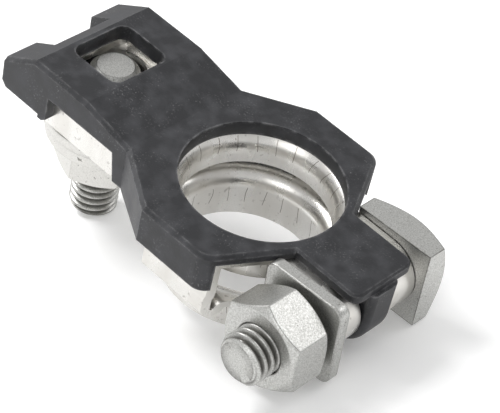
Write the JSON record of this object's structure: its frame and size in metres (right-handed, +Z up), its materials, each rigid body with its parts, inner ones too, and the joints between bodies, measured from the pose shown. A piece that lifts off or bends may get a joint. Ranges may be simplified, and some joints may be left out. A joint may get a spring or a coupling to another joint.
{
  "type": "battery terminal clamp",
  "caption": "Folded tin-plated battery post clamp with two collars, black moulded cover, square-headed clamping bolt and threaded cable stud",
  "frame": {"origin": "on the battery post's axis, level with the top face of the cover's ring", "axes": "+Z up the post, +X from the post towards the clamping bolt, +Y towards the clamping bolt's square head"},
  "size_m": [0.0525, 0.0311, 0.0238],
  "materials": {
    "black_plastic": "fine-grained matt black moulding",
    "tinned_sheet": "bright tin-plated sheet",
    "zinc_bolt": "satin zinc-plated steel",
    "zinc_plate": "satin zinc-plated steel",
    "zinc_nut": "satin zinc-plated steel",
    "zinc_stud": "satin zinc-plated steel",
    "zinc_washer": "satin zinc-plated steel",
    "zinc_flange_nut": "satin zinc-plated steel"
  },
  "bodies": {
    "clamp": {"cover": "black_plastic", "clamp_body": "tinned_sheet", "clamp_bolt": "zinc_bolt", "terminal_stud": "zinc_stud"},
    "plate": {"pressure_plate": "zinc_plate"},
    "bolt_nut": {"clamp_nut": "zinc_nut"},
    "washer": {"stud_washer": "zinc_washer"},
    "cable_nut": {"stud_nut": "zinc_flange_nut"}
  },
  "joints": [
    {"name": "plate_travel", "type": "slide", "parent": "clamp", "child": "plate", "axis": [0, -1, 0], "range_m": [0, 0.0032]},
    {"name": "bolt_nut_turn", "type": "hinge", "parent": "plate", "child": "bolt_nut", "pos_m": [0.0143, -0.0087, -0.00535], "axis": [0, -1, 0], "range_deg": [0, 1152]},
    {"name": "washer_travel", "type": "slide", "parent": "clamp", "child": "washer", "axis": [0, 0, -1], "range_m": [-0.0003, 0.007]},
    {"name": "cable_nut_turn", "type": "hinge", "parent": "washer", "child": "cable_nut", "pos_m": [-0.0238, 0, -0.0091], "axis": [0, 0, -1], "range_deg": [-108, 2520]}
  ],
  "couplings": [
    {"joint": "bolt_nut_turn", "follows": "plate_travel", "rad_per_m": 6283.2},
    {"joint": "cable_nut_turn", "follows": "washer_travel", "rad_per_m": 6283.2}
  ]
}
